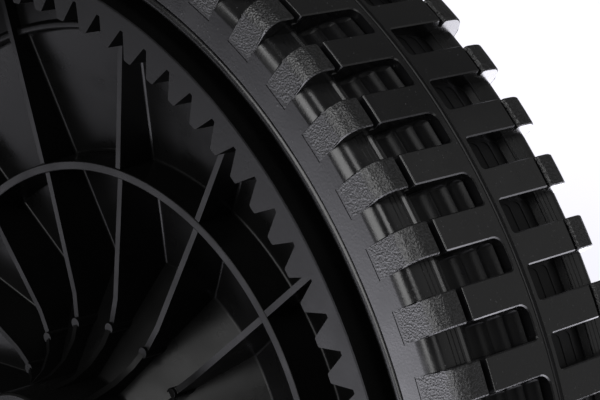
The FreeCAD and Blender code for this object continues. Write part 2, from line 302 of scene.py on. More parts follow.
# %% Tread band before cutting
RIM_RADIUS = 124.8
KEY_RADIUS = 126.3
KEY_HALF_WIDTH = 6.0
LUG_COUNT = 64
LUG_PITCH = 360 / LUG_COUNT
LUG_ANGLE = 4.67
BLOCK_TOP = 139.85
PAD_START = 129.25
TREAD_STEPS = 4 * LUG_COUNT
GEAR_CAP_EDGE = 0.25
OUTER_CAP_EDGE = 0.9
seat = [(RIM_RADIUS, KEY_HALF_WIDTH), (KEY_RADIUS, KEY_HALF_WIDTH)]


def lug_section(cap_edge):
    """Half of a lug's section, from the sidewall to the parting ridge: radius, place, rounding."""
    return [
        (RIM_RADIUS, 26.2, 0.25),
        (PAD_START, 26.09),
        (139.4, 25.75, 3.9),
        (139.5, 18.95, cap_edge),
        (137.9, 18.75),
        (137.9, 17.65),
        (BLOCK_TOP, 17.4, 0.35),
        (BLOCK_TOP, 0.75),
        (BLOCK_TOP - 0.12, 0.6),
        (BLOCK_TOP - 0.12, 0.45),
        (tyre_radius, 0.3, 0.1),
    ]


def other_side(corners):
    """The same corners mirrored to the other side of the wheel, in the opposite order."""
    return [(corner[0], -corner[1]) + tuple(corner[2:]) for corner in reversed(corners)]


tread_section = other_side(seat) + seat + lug_section(OUTER_CAP_EDGE)
tread_section += other_side(lug_section(GEAR_CAP_EDGE))
tread = turned(spun("tread_band", tread_section, TREAD_STEPS), LUG_ANGLE)
report(tread)

# %% [markdown]
# ## The floor of a pocket
# The space between two lugs is a pocket that opens to the sidewall. Its floor drops over the
# shoulder, crosses a few fine lines, and climbs in three steps towards the middle ring. A toolmaker
# would sink this with one electrode, so the cutter starts as a block with the floor's section.

# %% Block above the floor
POCKET_WIDTH = 7.24
OUTSIDE = 146.0
FLOOR_END = 1.3
BLOCK_END = 31.0
crests = [Vector(point) for point in ((137.85, 2.85), (137.25, 7.05), (136.4, 11.25), (135.0, 15.4))]
shoulder_floor = [
    (134.7, 16.1),
    (135.9, 16.95),
    (135.65, 17.4),
    (135.85, 17.5),
    (135.55, 18.0),
    (135.5, 18.45),
    (135.35, 18.6),
    (135.5, 18.75),
    (135.5, 19.65),
    (135.35, 19.8),
    (135.5, 19.95),
    (135.5, 20.85),
    (135.35, 21.0),
    (135.5, 21.15),
    (135.5, 25.97, 3.6),
    (131.7, 25.99),
    (131.3, 27.2),
]


def pocket_block():
    """The space above the pocket's floor, wider than the pocket."""
    floor = [(136.3, FLOOR_END)] + [tuple(crest) for crest in crests] + shoulder_floor
    line = rounded([(OUTSIDE, FLOOR_END)] + floor + [(131.2, BLOCK_END), (OUTSIDE, BLOCK_END)])
    points = [Vector((point.x, -point.y, -POCKET_WIDTH)) for point in line]
    return pushed("pocket_block", points, (0, 0, 2 * POCKET_WIDTH))


print("the floor climbs", round(crests[0].x - crests[-1].x, 2), "mm from shoulder to middle")

# %% [markdown]
# ## The scoops of the gear side
# On the gear side each step of the floor is hollowed by a scoop with an arched end. A ball cutter
# leaves such a form, so the scoop is half a sphere that is drawn out to a capsule and flattened at
# its end. A cylinder would end in a straight wall and lose the arch.

# %% Scoop
POCKET_DRAFT = 0.35
SCOOP_RADIUS = 4.3
SCOOP_SEGMENTS = 32
SCOOP_ARCH = 0.4
SCOOP_OVERLAP = 0.03


def scoop(near, far):
    """A capsule that hollows the floor between two crests and ends in a flat arch."""
    middle = (near + far) / 2
    across = (far - near).length / 2 + SCOOP_OVERLAP
    outwards = Vector((far.y - near.y, near.x - far.x)).normalized()
    centre = middle + outwards * math.sqrt(SCOOP_RADIUS ** 2 - across ** 2)
    arch = POCKET_WIDTH / 2 - POCKET_DRAFT - SCOOP_ARCH * across
    bpy.ops.object.select_all(action="DESELECT")
    bpy.ops.mesh.primitive_uv_sphere_add(segments=SCOOP_SEGMENTS, ring_count=SCOOP_SEGMENTS // 2,
                                         radius=SCOOP_RADIUS * MM)
    capsule = bpy.context.object
    edit(capsule)
    bpy.ops.mesh.bisect(plane_co=CENTRE, plane_no=(0, 0, 1), clear_inner=True)
    push = Vector((0, 0, -2 * POCKET_WIDTH)) * MM
    bpy.ops.mesh.extrude_region_move(TRANSFORM_OT_translate={"value": push})
    bpy.ops.mesh.edge_face_add()
    bpy.ops.mesh.select_all(action="SELECT")
    bpy.ops.transform.resize(value=(1, 1, SCOOP_ARCH), center_override=CENTRE)
    bpy.ops.transform.translate(value=Vector((centre.x, -centre.y, arch)) * MM)
    close_shape()
    return capsule


print("a scoop spans", round((crests[1] - crests[0]).length, 2), "mm between two crests")

# %% [markdown]
# ## The panels of the outer side
# The outer row shows only faint lines on its floors, so its steps get flat panels that are barely
# sunk. A panel is a thin prism, kept inside a plan with two round corners, so that it ends in an
# arch as a scoop does.

# %% Flat panel
PANEL_DEPTH = 0.12
PANEL_MIDDLE = 0.8
PANEL_REACH = 1.5
PANEL_LIP = Vector((0.3, -0.15))
ARCH_RADIUS = 1.9
ARCH_GAP = 0.25
ARCH_BASE = 130.0
ARCH_RISE = 16.0
ARCH_OVERSHOOT = 1.0
ARCH_NEAR_MARGIN = 0.3
ARCH_FAR_MARGIN = 0.2


def flat_panel(near, far):
    """A sunk panel of the floor: it dips from one crest to the next and ends in an arch."""
    dip = Vector((PANEL_DEPTH, 0))
    middle = (near + far) / 2 - PANEL_MIDDLE * dip
    line = [near + PANEL_LIP, near, middle, far - dip, Vector((far.x + PANEL_REACH, far.y)),
            Vector((near.x + PANEL_REACH, near.y + PANEL_LIP.y))]
    points = [Vector((point.x, -point.y, -POCKET_WIDTH)) for point in line]
    panel = pushed("panel", points, (0, 0, 2 * POCKET_WIDTH))
    top = POCKET_WIDTH / 2 - POCKET_DRAFT - ARCH_GAP
    low = -POCKET_WIDTH - ARCH_OVERSHOOT
    start = -far.y - ARCH_FAR_MARGIN
    end = -near.y + ARCH_NEAR_MARGIN
    plan = rounded([(start, low), (end, low), (end, top, ARCH_RADIUS), (start, top, ARCH_RADIUS)])
    points = [Vector((ARCH_BASE, point.x, point.y)) for point in plan]
    return combine(panel, pushed("arch", points, (ARCH_RISE, 0, 0)), "INTERSECT")


print("a panel is sunk by", PANEL_DEPTH, "mm")

# %% [markdown]
# ## The plan of a pocket
# Seen from outside, a pocket has straight sides and ends in rounded corners beside the middle ring.
# Its walls lean a little, so that the band leaves its mould. The plan is a prism whose foot is
# narrowed by that draft, and the finished cutter keeps only what lies inside it.

# %% Pocket cutter
POCKET_END = 2.0
OPEN_END = -30.0
PLAN_BASE = 128.0
PLAN_RISE = 14.0


def pocket_plan(upper_corner, lower_corner):
    """A prism with the pocket's plan: straight sides, and rounded corners at the middle ring."""
    side = POCKET_WIDTH / 2
    plan = [(OPEN_END, -side), (-POCKET_END, -side, lower_corner),
            (-POCKET_END, side, upper_corner), (OPEN_END, side)]
    points = [Vector((PLAN_BASE, point.x, point.y)) for point in rounded(plan)]
    prism = pushed("pocket_plan", points, (PLAN_RISE, 0, 0))
    edit(prism)
    bpy.ops.mesh.select_all(action="DESELECT")
    bpy.ops.object.mode_set(mode="OBJECT")
    for vertex in prism.data.vertices:
        vertex.select = vertex.co.x < (PLAN_BASE + PLAN_RISE / 2) * MM
    bpy.ops.object.mode_set(mode="EDIT")
    foot_share = 1 - 4 * POCKET_DRAFT / POCKET_WIDTH
    bpy.ops.transform.resize(value=(1, 1, foot_share), center_override=CENTRE)
    leave_edit()
    return prism


def pocket_cutter(upper_corner, lower_corner, hollow):
    """One pocket of the row on the gear side, at angle zero."""
    cutter = pocket_block()
    for near, far in zip(crests, crests[1:]):
        combine(cutter, hollow(near, far), "UNION")
    combine(cutter, pocket_plan(upper_corner, lower_corner), "INTERSECT")
    return cutter


print("pocket", POCKET_WIDTH, "mm wide, lug pitch", round(LUG_PITCH, 3), "degrees")

# %% [markdown]
# ## Cutting the band
# Every pocket of a row is the same, so one cutter is copied round the axle, mirrored for the outer
# side and turned by half a pitch. A fine line on the sidewall marks where the pad of each lug
# begins. Cutting whole rows at once is quicker and safer than cutting 128 times.

# %% Cut the spaces between the lugs
PAD_WIDTH = 6.6
GEAR_ROW_CORNERS = (2.2, 1.0)
OUTER_ROW_CORNERS = (0.8, 0.8)


def pad_line():
    """The fine line on the sidewall where the grained pad of a lug begins."""
    side = PAD_WIDTH / 2
    line = [(129.0, -26.5), (129.2, -25.86), (129.3, -25.9), (129.4, -26.5)]
    points = [Vector((across, along, -side)) for across, along in line]
    return pushed("pad_line", points, (0, 0, PAD_WIDTH))


def to_outer_side(piece):
    """Mirror a piece of the gear side to the outer side."""
    edit(piece)
    bpy.ops.transform.mirror(orient_type="GLOBAL", constraint_axis=(False, True, False),
                             center_override=CENTRE)
    close_shape()
    return piece


gear_pocket = pocket_cutter(*GEAR_ROW_CORNERS, scoop)
cutters = [
    copied_round(gear_pocket, LUG_COUNT, LUG_ANGLE - LUG_PITCH / 2),
    copied_round(to_outer_side(pocket_cutter(*OUTER_ROW_CORNERS, flat_panel)), LUG_COUNT, LUG_ANGLE),
    copied_round(pad_line(), LUG_COUNT, LUG_ANGLE),
    copied_round(to_outer_side(pad_line()), LUG_COUNT, LUG_ANGLE + LUG_PITCH / 2),
]
for cutter in cutters:
    report(cutter)
    combine(tread, cutter, "DIFFERENCE")
report(tread)

# %% [markdown]
# ## Soft edges on the lugs
# A moulded edge is never a knife edge, and a narrow chamfer catches the light that draws each lug.
# Only edges between a lug's outside and one of its walls are taken. The clamp is off, because the
# shortest edge of the mesh would otherwise shrink every chamfer to nothing.

# %% Round the edges of the lugs
LUG_EDGE = 0.25
SHARP_ANGLE = math.radians(40)
GROOVE_PLACE = 18.0
BLOCK_RIM = 139.3
CAP_RIM = 136.0
PAD_FACE = 25.3
PAD_RIM = 131.0
RIDGE_SIDE = 1.0
RING_SIDE = 3.0
FLAT_TILT = 0.25
WALL_TILT = 0.5


def is_lug_edge(edge):
    """Whether an edge lies between a lug's outside and one of its walls."""
    if len(edge.link_faces) != 2 or not edge.is_convex or edge.calc_face_angle() < SHARP_ANGLE:
        return False
    middle = middle_of(edge)
    across = math.hypot(middle.x, middle.z)
    along = abs(middle.y)
    if along < GROOVE_PLACE:
        outside = across > BLOCK_RIM
    else:
        outside = across > CAP_RIM or (along > PAD_FACE and across > PAD_RIM)
    around = Vector((-middle.z, 0, middle.x)).normalized()
    tilts = sorted(abs(face.normal.dot(around)) for face in edge.link_faces)
    meets_wall = tilts[0] < FLAT_TILT and (tilts[1] > WALL_TILT or along < RING_SIDE)
    return outside and along > RIDGE_SIDE and meets_wall


bevel_where(tread, is_lug_edge, LUG_EDGE, 1, clamp=False)
report(tread)

# %% [markdown]
# ## The wheel body
# Hub, dished web, ring gear and rim are one moulding. The channel between gear and rim is deep and
# dark, and the rim ends in a round lip that shows as a bright line. All of this is the same at every
# angle, so it is one section that is spun, and nothing has to be joined there later.

# %% Spun walls of the wheel body
WHEEL_STEPS = 192
HUB_RADIUS = 20.0
HUB_END = 25.0
HUB_CONE_TOP = -4.0
BEARING_RADIUS = 14.29
SEAT_FLOOR = 16.5
SHOULDER_BORE = 11.69
TIP_RADIUS = 110.45
ROOT_RADIUS = 115.74
GEAR_OUTSIDE = 119.0
GEAR_FACE = -28.9
TOOTH_FOOT = -4.0
GEAR_FLOOR = 2.4
RIM_INSIDE = 122.1
RIM_EDGE = 24.5
CHAMFER_START = RIM_EDGE - 0.9
CHAMFER_END = RIM_EDGE - 1.2
BEAD_TOP = 25.9
BEAD_RADIUS = 1.1
BEAD_GAP = 0.3
BEAD_OUTSIDE = RIM_RADIUS - BEAD_GAP
VALLEY = (44.0, 16.0)
WEB_EDGE = (99.9, 4.3)
WEB_BACK = 6.9
STEP_TOP = 1.0
STEP_OUTSIDE = 101.8
body_section = [
    (BEARING_RADIUS, -HUB_END, 0.4),
    (HUB_RADIUS, -HUB_END, 0.8),
    (HUB_RADIUS, HUB_CONE_TOP, 1.5),
    VALLEY + (1.0,),
    WEB_EDGE + (0.8,),
    (WEB_EDGE[0], STEP_TOP, 0.6),
    (STEP_OUTSIDE, STEP_TOP, 0.6),
    (STEP_OUTSIDE, GEAR_FLOOR, 0.4),
    (TIP_RADIUS, GEAR_FLOOR, 0.5),
    (TIP_RADIUS, TOOTH_FOOT),
    (ROOT_RADIUS, TOOTH_FOOT),
    (ROOT_RADIUS, GEAR_FACE),
    (GEAR_OUTSIDE - 0.5, GEAR_FACE),
    (GEAR_OUTSIDE - 0.3, GEAR_FACE - 0.1),
    (GEAR_OUTSIDE, GEAR_FACE - 0.06),
    (GEAR_OUTSIDE, GEAR_FLOOR, 0.6),
    (RIM_INSIDE, GEAR_FLOOR, 0.6),
    (RIM_INSIDE, -BEAD_TOP, BEAD_RADIUS),
    (BEAD_OUTSIDE, -BEAD_TOP, BEAD_RADIUS),
    (BEAD_OUTSIDE, -CHAMFER_START),
    (RIM_RADIUS, -CHAMFER_END),
    (RIM_RADIUS, -KEY_HALF_WIDTH),
    (KEY_RADIUS, -KEY_HALF_WIDTH),
    (KEY_RADIUS, KEY_HALF_WIDTH),
    (RIM_RADIUS, KEY_HALF_WIDTH),
    (RIM_RADIUS, CHAMFER_END),
    (BEAD_OUTSIDE, CHAMFER_START),
    (BEAD_OUTSIDE, BEAD_TOP, BEAD_RADIUS),
    (RIM_INSIDE, BEAD_TOP, BEAD_RADIUS),
    (RIM_INSIDE, WEB_BACK, 1.5),
    (WEB_EDGE[0], WEB_BACK, 2.0),
    (VALLEY[0], 18.6, 5.0),
    (HUB_RADIUS, -0.6, 1.5),
    (HUB_RADIUS, HUB_END, 0.8),
    (BEARING_RADIUS, HUB_END, 0.4),
    (BEARING_RADIUS, SEAT_FLOOR),
    (SHOULDER_BORE, SEAT_FLOOR, 0.4),
    (SHOULDER_BORE, -SEAT_FLOOR, 0.4),
    (BEARING_RADIUS, -SEAT_FLOOR),
]
wheel = spun("wheel_body", body_section, WHEEL_STEPS)
report(wheel)

# %% [markdown]
# ## The ring gear
# A pinion on the mower's drive shaft meshes with 96 teeth that point inwards. Moulded teeth of this
# size have straight flanks and rounded tips. One tooth is pushed out from its outline, its front
# edges are rounded, and it is copied round and joined to the ring behind it.

# %% Teeth of the ring gear
TOOTH_COUNT = 96
TOOTH_ANGLE = 0.67
TOOTH_TIP_HALF = 0.95
ROOT_GAP = 0.8
TOOTH_ROOT_HALF = math.pi * ROOT_RADIUS / TOOTH_COUNT - ROOT_GAP / 2
TOOTH_TIP_ROUND = 0.5
TOOTH_SINK = 0.6
TOOTH_EDGE = 0.25
CLOSE = 0.1


def is_front_edge(edge):
    """Whether an edge of a tooth lies on its face and outside the ring behind it."""
    front = all(vertex.co.y < (GEAR_FACE + CLOSE) * MM for vertex in edge.verts)
    return front and middle_of(edge).x < ROOT_RADIUS + TOOTH_SINK - CLOSE


def gear_tooth():
    """One tooth with a rounded tip, sunk a little into the ring behind it."""
    slope = (TOOTH_ROOT_HALF - TOOTH_TIP_HALF) / (ROOT_RADIUS - TIP_RADIUS)
    base = TOOTH_ROOT_HALF + slope * TOOTH_SINK
    line = [(ROOT_RADIUS + TOOTH_SINK, -base), (TIP_RADIUS, -TOOTH_TIP_HALF, TOOTH_TIP_ROUND),
            (TIP_RADIUS, TOOTH_TIP_HALF, TOOTH_TIP_ROUND), (ROOT_RADIUS + TOOTH_SINK, base)]
    points = [Vector((point.x, GEAR_FACE, point.y)) for point in rounded(line)]
    tooth = pushed("gear_tooth", points, (0, TOOTH_FOOT + TOOTH_SINK - GEAR_FACE, 0))
    bevel_where(tooth, is_front_edge, TOOTH_EDGE, 2)
    return tooth


teeth = copied_round(gear_tooth(), TOOTH_COUNT, TOOTH_ANGLE)
report(teeth)
combine(wheel, teeth, "UNION")
report(wheel)

# %% [markdown]
# ## The ribs
# Sixteen thin ribs carry the rim from the hub. From the gear inwards the top of a rib falls gently,
# steps down at the cross ring, runs level and sweeps up the hub in a curve. A rib is drawn from the
# side and pushed out to its thickness, and only the long edges of its top are rounded.

# %% Ribs
RIB_COUNT = 16
RIB_THICKNESS = 1.5
RIB_EDGE = 0.25
RIB_TOP = 1.2
RIB_OUTER_END = 114.7
RIB_INNER_END = 17.1
RIB_FOOT_AT_HUB = -2.3
GUSSET_RADIUS = 18.0
GUSSET_END = -17.2
TOWARDS_GEAR = 0.2
SIDEWAYS = 0.9
rib_line = [
    (RIB_OUTER_END, -0.8),
    (69.5, 0.35),
    (68.6, RIB_TOP),
    (HUB_RADIUS, RIB_TOP, GUSSET_RADIUS),
    (HUB_RADIUS, GUSSET_END),
    (RIB_INNER_END, GUSSET_END),
    (RIB_INNER_END, RIB_FOOT_AT_HUB),
    (HUB_RADIUS, RIB_FOOT_AT_HUB),
    (VALLEY[0], 17.3),
    (WEB_EDGE[0], 5.6),
    (RIB_OUTER_END, 4.6),
]


def is_rib_top_edge(edge):
    """Whether an edge lies between a rib's top and one of its sides, outside the hub."""
    normals = [face.normal for face in edge.link_faces]
    top = any(normal.y < -TOWARDS_GEAR and abs(normal.z) < 1 - SIDEWAYS for normal in normals)
    side = any(abs(normal.z) > SIDEWAYS for normal in normals)
    return top and side and middle_of(edge).x > HUB_RADIUS


def web_rib():
    """A thin radial rib with rounded top edges, at angle zero."""
    points = [Vector((point.x, point.y, -RIB_THICKNESS / 2)) for point in rounded(rib_line)]
    rib = pushed("web_rib", points, (0, 0, RIB_THICKNESS))
    bevel_where(rib, is_rib_top_edge, RIB_EDGE, 2)
    return rib


combine(wheel, copied_round(web_rib(), RIB_COUNT, 0), "UNION")
report(wheel)

# %% [markdown]
# ## Ejector marks
# Round pins push the wheel out of its mould and leave a small round pad on each rib near the hub. A
# short cylinder with a softened top is enough, sunk deep into the rib so that only its end shows.

# %% Ejector pads
EJECTOR_PLACE = 31.0
EJECTOR_RADIUS = 1.35
EJECTOR_TOP = -0.6
EJECTOR_DEPTH = 7.0
EJECTOR_EDGE = 0.15
EJECTOR_SIDES = 28


def ejector_pad():
    """The round mark on a rib where a pin pushed the wheel out of its mould."""
    bpy.ops.object.select_all(action="DESELECT")
    place = Vector((EJECTOR_PLACE, EJECTOR_TOP + EJECTOR_DEPTH / 2, 0)) * MM
    bpy.ops.mesh.primitive_cylinder_add(vertices=EJECTOR_SIDES, radius=EJECTOR_RADIUS * MM,
                                        depth=EJECTOR_DEPTH * MM, location=place,
                                        rotation=(math.pi / 2, 0, 0))
    pad = bpy.context.object
    pad.name = "ejector_pad"
    bpy.ops.object.transform_apply(location=True, rotation=True)
    bevel_where(pad, lambda edge: middle_of(edge).y < EJECTOR_TOP + CLOSE, EJECTOR_EDGE, 2)
    return pad


combine(wheel, copied_round(ejector_pad(), RIB_COUNT, 0), "UNION")
report(wheel)

# %% [markdown]
# ## Fillets and the cross ring
# Where a rib or the cross ring meets the web, the mould has a small fillet, which shows as a soft
# line. A fillet made by a bevel would need clean edges all along the join, so it is a thin strip
# with concave sides, laid on the web and joined to it. The ring has its fillets in its section.

# %% Rib feet and cross ring
FOOT_RADIUS = 0.7
FOOT_START = 109.0
FOOT_OVERLAP = 0.3
FOOT_SINK = 0.6
FOOT_TOE = 0.4
SKIN = 0.05
RING_INSIDE = 67.15
RING_OUTSIDE = 69.25
RING_TOP = 0.4
RING_EDGE = 0.3
RING_DRAFT = 0.85
RING_TOE = 2.1


def web_height(radius):
    """Place along the axle of the web's gear side at a radius outside the valley."""
    share = (radius - VALLEY[0]) / (WEB_EDGE[0] - VALLEY[0])
    return VALLEY[1] + share * (WEB_EDGE[1] - VALLEY[1])


def rib_foot(outer, inner):
    """A fillet on both sides of a rib's foot, between two points of (radius, place)."""
    side = RIB_THICKNESS / 2
    toe = side + FOOT_RADIUS + FOOT_TOE
    top = FOOT_RADIUS + FOOT_OVERLAP
    corners = [(side - FOOT_OVERLAP, top), (side, top), (side, 0.0, FOOT_RADIUS),
               (toe, -SKIN), (toe, -FOOT_SINK)]
    corners += [(-corner[0],) + corner[1:] for corner in reversed(corners)]
    points = [Vector((outer[0], outer[1] - point.y, point.x)) for point in rounded(corners)]
    push = Vector((inner[0] - outer[0], inner[1] - outer[1], 0))
    return pushed("rib_foot", points, push)


foot = rib_foot((FOOT_START, web_height(FOOT_START)), VALLEY)
combine(wheel, copied_round(foot, RIB_COUNT, 0), "UNION")
outer_foot = RING_OUTSIDE + RING_DRAFT
inner_foot = RING_INSIDE - RING_DRAFT
outer_toe = outer_foot + RING_TOE
inner_toe = inner_foot - RING_TOE
cross_ring = spun("cross_ring", [
    (RING_INSIDE, RING_TOP, RING_EDGE),
    (RING_OUTSIDE, RING_TOP, RING_EDGE),
    (outer_foot, web_height(outer_foot), FOOT_RADIUS),
    (outer_toe, web_height(outer_toe) + SKIN),
    (outer_toe, 12.2),
    (inner_toe, 12.6),
    (inner_toe, web_height(inner_toe) + SKIN),
    (inner_foot, web_height(inner_foot), FOOT_RADIUS),
], WHEEL_STEPS)
combine(wheel, cross_ring, "UNION")
report(wheel)

# %% [markdown]
# ## Materials
# Every finish below is a small tree of nodes. Colours are written as they look on a screen and
# turned to linear light by one function. Another adds a node with its settings and links, so a
# material reads like a list of what happens on its surface.

# %% Colour and node helpers
def linear(code):
    """An sRGB hex colour as linear red, green, blue and alpha."""
    shares = [int(code[place:place + 2], 16) / 255 for place in (1, 3, 5)]
    return [share / 12.92 if share <= 0.04045 else ((share + 0.055) / 1.055) ** 2.4
            for share in shares] + [1.0]


def add_node(material, kind, settings=None, links=None):
    """Add a node, set its sockets and properties, and link sockets of other nodes to it."""
    node = material.node_tree.nodes.new(kind)
    for name, setting in (settings or {}).items():
        if isinstance(name, int) or name in node.inputs:
            node.inputs[name].default_value = setting
        else:
            setattr(node, name, setting)
    for name, socket in (links or {}).items():
        material.node_tree.links.new(socket, node.inputs[name])
    return node


def new_material(name):
    """An empty node material."""
    material = bpy.data.materials.new(name)
    material.use_nodes = True
    material.node_tree.nodes.clear()
    return material


def finish_material(material, shader):
    """Link a shader to the material's output."""
    add_node(material, "ShaderNodeOutputMaterial", links={"Surface": shader})


print("mid grey in linear light", round(linear("#808080")[0], 3))

# %% [markdown]
# ## Black polypropylene
# Both mouldings are polypropylene, coloured through with carbon black. It gives the eye little
# colour of its own: what shows is the soft reflection of the room on a satin skin, broken by a faint
# pebble, smudges from handling and specks of dust. The tread is smoother and shinier than the wheel,
# and its pockets, which no hand rubs, are duller.

# %% Plastics
DUST_SIZE = 0.5
SMUDGE_SIZE = 9.0
PEBBLE_HEIGHT = 0.06
PLASTIC_IOR = 1.49


def dusted(material, place, colour, dust):
    """The plastic's colour with sparse specks of dust, a quarter of a millimetre across."""
    specks = add_node(material, "ShaderNodeTexNoise",
                      {"Scale": 1 / (DUST_SIZE * MM), "Detail": 1.0}, {"Vector": place})
    some = add_node(material, "ShaderNodeMapRange", {"From Min": 0.71, "From Max": 0.77},
                    {"Value": specks.outputs["Fac"]})
    mixed = add_node(material, "ShaderNodeMix",
                     {"data_type": "RGBA", 6: linear(colour), 7: linear(dust)},
                     {0: some.outputs[0]})
    return mixed.outputs[2]


def black_polypropylene(name, colour, dust, roughness, shine, pebble_size):
    """Moulded polypropylene: near black, satin, with a faint pebble and smudges from handling."""
    material = new_material(name)
    place = add_node(material, "ShaderNodeTexCoord").outputs["Object"]
    pebble = add_node(material, "ShaderNodeTexNoise",
                      {"Scale": 1 / (pebble_size * MM), "Detail": 3.0}, {"Vector": place})
    bump = add_node(material, "ShaderNodeBump", {"Strength": 0.3, "Distance": PEBBLE_HEIGHT * MM},
                    {"Height": pebble.outputs["Fac"]})
    smudge = add_node(material, "ShaderNodeTexNoise",
                      {"Scale": 1 / (SMUDGE_SIZE * MM), "Detail": 3.0}, {"Vector": place})
    satin = add_node(material, "ShaderNodeMapRange",
                     {"From Min": 0.3, "From Max": 0.7,
                      "To Min": roughness - 0.06, "To Max": roughness + 0.08},
                     {"Value": smudge.outputs["Fac"]})
    shader = add_node(material, "ShaderNodeBsdfPrincipled",
                      {"IOR": PLASTIC_IOR, "Specular IOR Level": shine},
                      {"Normal": bump.outputs["Normal"], "Roughness": satin.outputs[0],
                       "Base Color": dusted(material, place, colour, dust)})
    finish_material(material, shader.outputs["BSDF"])
    return material


wheel_plastic = black_polypropylene("black_polypropylene_wheel", "#090909", "#101010", 0.3, 0.16, 0.9)
tread_plastic = black_polypropylene("black_polypropylene_tread", "#0b0b0c", "#363637", 0.24, 0.5, 0.5)
pocket_plastic = black_polypropylene("black_polypropylene_pocket", "#0a0a0b", "#1c1c1d", 0.32, 0.13, 0.5)
print("plastics", [plastic.name for plastic in (wheel_plastic, tread_plastic, pocket_plastic)])

# %% [markdown]
# ## Leather grain
# The pads and shoulders of the lugs were etched in the mould with a leather grain, cells of about
# half a millimetre with wrinkles between them. Cells and wrinkles are added to one height, which
# drives the bump and a slight wear on the high spots. The grain fades in over the first millimetre
# of the pad.

# %% Grained plastic
GRAIN_CELL = 0.42
GRAIN_WRINKLE = 0.32
GRAIN_HEIGHT = 0.12
GRAIN_FADE = 1.2


def leather_grain(name):
    """The same plastic where the mould was etched: dark, with fine wrinkles that glint."""
    material = new_material(name)
    place = add_node(material, "ShaderNodeTexCoord").outputs["Object"]
    cells = add_node(material, "ShaderNodeTexVoronoi", {"Scale": 1 / (GRAIN_CELL * MM)},
                     {"Vector": place})
    wrinkle = add_node(material, "ShaderNodeTexNoise",
                       {"Scale": 1 / (GRAIN_WRINKLE * MM), "Detail": 2.0}, {"Vector": place})
    grain = add_node(material, "ShaderNodeMath", {"operation": "ADD"},
                     {0: cells.outputs["Distance"], 1: wrinkle.outputs["Fac"]})
    spoke = add_node(material, "ShaderNodeVectorMath", {"operation": "MULTIPLY", 1: (1.0, 0.0, 1.0)},
                     {0: place})
    radius = add_node(material, "ShaderNodeVectorMath", {"operation": "LENGTH"},
                      {0: spoke.outputs["Vector"]})
    etched = add_node(material, "ShaderNodeMapRange",
                      {"From Min": PAD_START * MM, "From Max": (PAD_START + GRAIN_FADE) * MM,
                       "To Max": 0.68}, {"Value": radius.outputs["Value"]})
    bump = add_node(material, "ShaderNodeBump", {"Distance": GRAIN_HEIGHT * MM},
                    {"Height": grain.outputs[0], "Strength": etched.outputs[0]})
    worn = add_node(material, "ShaderNodeMapRange", {"From Min": 0.9, "From Max": 1.15},
                    {"Value": grain.outputs[0]})
    colour = add_node(material, "ShaderNodeMix",
                      {"data_type": "RGBA", 6: linear("#0a0a0a"), 7: linear("#222223")},
                      {0: worn.outputs[0]})
    shader = add_node(material, "ShaderNodeBsdfPrincipled", {"Roughness": 0.3, "IOR": PLASTIC_IOR},
                      {"Normal": bump.outputs["Normal"], "Base Color": colour.outputs[2]})
    finish_material(material, shader.outputs["BSDF"])
    return material


grain_plastic = leather_grain("leather_grain_polypropylene")
print("grain", grain_plastic.name, "with cells of", GRAIN_CELL, "mm")

# %% [markdown]
# ## Steels of the bearings
# Rings are ground, balls polished, cages and shields pressed and the spacer zinc plated. All are grey
# mirrors, and what sets them apart is how far grinding marks or plating blur the reflection. The
# solids of the frame are good enough for these small parts, so they only get their finish here.

# %% Steels
GRINDING_MARK = 0.3


def bearing_steel(name, colour, roughness):
    """Steel: a grey mirror that fine marks blur, drawn coarser than real ones so that they show."""
    material = new_material(name)
    place = add_node(material, "ShaderNodeTexCoord").outputs["Object"]
    marks = add_node(material, "ShaderNodeTexNoise",
                     {"Scale": 1 / (GRINDING_MARK * MM), "Detail": 2.0}, {"Vector": place})
    bump = add_node(material, "ShaderNodeBump", {"Strength": 0.15, "Distance": 0.01 * MM},
                    {"Height": marks.outputs["Fac"]})
    shader = add_node(material, "ShaderNodeBsdfPrincipled",
                      {"Base Color": linear(colour), "Metallic": 1.0, "Roughness": roughness},
                      {"Normal": bump.outputs["Normal"]})
    finish_material(material, shader.outputs["BSDF"])
    return material


def dress(piece, material):
    """Give a piece one material."""
    piece.data.materials.clear()
    piece.data.materials.append(material)


steels = {
    "ring": bearing_steel("ground_bearing_steel", "#c4c4c6", 0.25),
    "balls": bearing_steel("polished_ball_steel", "#d6d6d8", 0.08),
    "cage": bearing_steel("pressed_cage_steel", "#bdb8ae", 0.4),
    "shield": bearing_steel("pressed_shield_steel", "#c8c8c8", 0.35),
    "spacer": bearing_steel("zinc_plated_steel", "#c9c9c4", 0.4),
}
for name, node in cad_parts.items():
    for kind, steel in steels.items():
        if name.endswith(kind):
            dress(node, steel)
            print(name, "in", steel.name)

# %% [markdown]
# ## Where each plastic lies
# One moulding can have several surfaces, so faces are sorted by their place: grain on the ends of
# the lugs, duller plastic in the pockets and on the parting ridge, and smooth plastic on the rim's
# lip. Sorting by place still works when the mesh changes, where a list of face numbers would not.

# %% Sort the faces
CAP_HALF_WIDTH = 3.3
CAP_INSIDE = 18.9
POCKET_OUTER_END = 17.7
POCKET_RIM = 138.6
LIP_INSIDE = RIM_INSIDE + 1.2


def sort_tread_faces(piece):
    """Give the outer end of every lug the leather grain, and the pockets their duller plastic."""
    piece.data.materials.append(grain_plastic)
    piece.data.materials.append(pocket_plastic)
    pitch = math.radians(LUG_PITCH)
    for face in piece.data.polygons:
        centre = face.center / MM
        across = math.hypot(centre.x, centre.z)
        along = abs(centre.y)
        row = LUG_ANGLE if centre.y < 0 else LUG_ANGLE + LUG_PITCH / 2
        turn = math.atan2(centre.z, centre.x) - math.radians(row)
        beside = abs((turn + pitch / 2) % pitch - pitch / 2) * across
        if beside < CAP_HALF_WIDTH and along > CAP_INSIDE and across > PAD_START + 0.2:
            face.material_index = 1
        elif along < RIDGE_SIDE or (along < POCKET_OUTER_END and across < POCKET_RIM):
            face.material_index = 2


